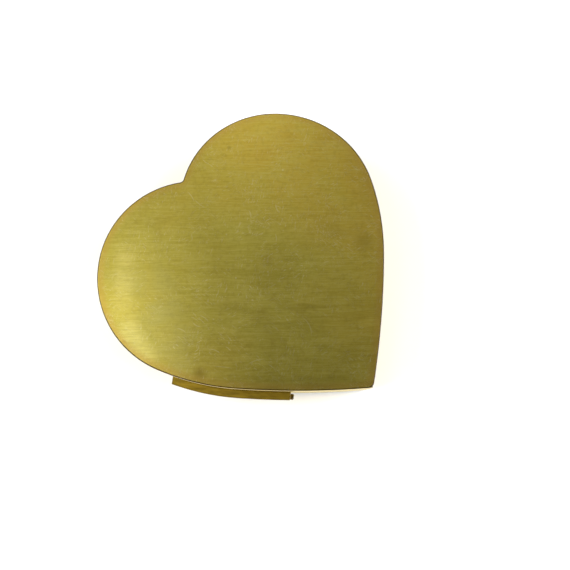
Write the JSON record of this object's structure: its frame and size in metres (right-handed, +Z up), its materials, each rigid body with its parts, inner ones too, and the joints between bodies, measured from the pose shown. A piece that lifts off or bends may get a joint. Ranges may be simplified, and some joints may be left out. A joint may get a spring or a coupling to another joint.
{
  "type": "heart-shaped trinket box",
  "caption": "Heart-shaped trinket box in brushed sheet brass, with a lid that swings up on a barrel hinge let into one flank, and a velvet lining.",
  "frame": {"origin": "on the surface the box stands on, at the middle of its bounding box", "axes": "+Z up through the lid; the tip of the heart points to -Y and the cleft to +Y; the hinge is on the -X flank"},
  "size_m": [0.095, 0.0928, 0.024],
  "materials": {
    "lid_brass": "flat brushed, worn, fine scratches and a few tarnish spots",
    "base_brass": "brushed, slightly darker with handling",
    "hinge_brass": "drawn and filed brass, brown in the recesses",
    "pin_steel": "dull, riveted ends",
    "velvet": "short-pile velvet",
    "felt": "pressed wool felt",
    "card": "grey card"
  },
  "bodies": {
    "base": {"base_felt": "felt", "base_floor": "base_brass", "base_wall": "base_brass", "base_rim": "base_brass", "floor_card": "card", "floor_pad": "velvet", "wall_lining": "velvet", "hinge_bearer": "hinge_brass", "base_knuckle_left": "hinge_brass", "base_knuckle_centre": "hinge_brass", "base_knuckle_right": "hinge_brass", "hinge_pin": "pin_steel"},
    "lid": {"lid_plate": "lid_brass", "lid_wall": "lid_brass", "hinge_rail": "hinge_brass", "lid_knuckle_left": "hinge_brass", "lid_knuckle_right": "hinge_brass", "lid_card": "card", "lid_pad": "velvet", "lid_lining": "velvet"}
  },
  "joints": [
    {"name": "lid_hinge", "type": "hinge", "parent": "base", "child": "lid", "pos_m": [-0.03186, -0.01723, 0.013], "axis": [0.6443, -0.7648, 0], "range_deg": [0, 100]}
  ]
}
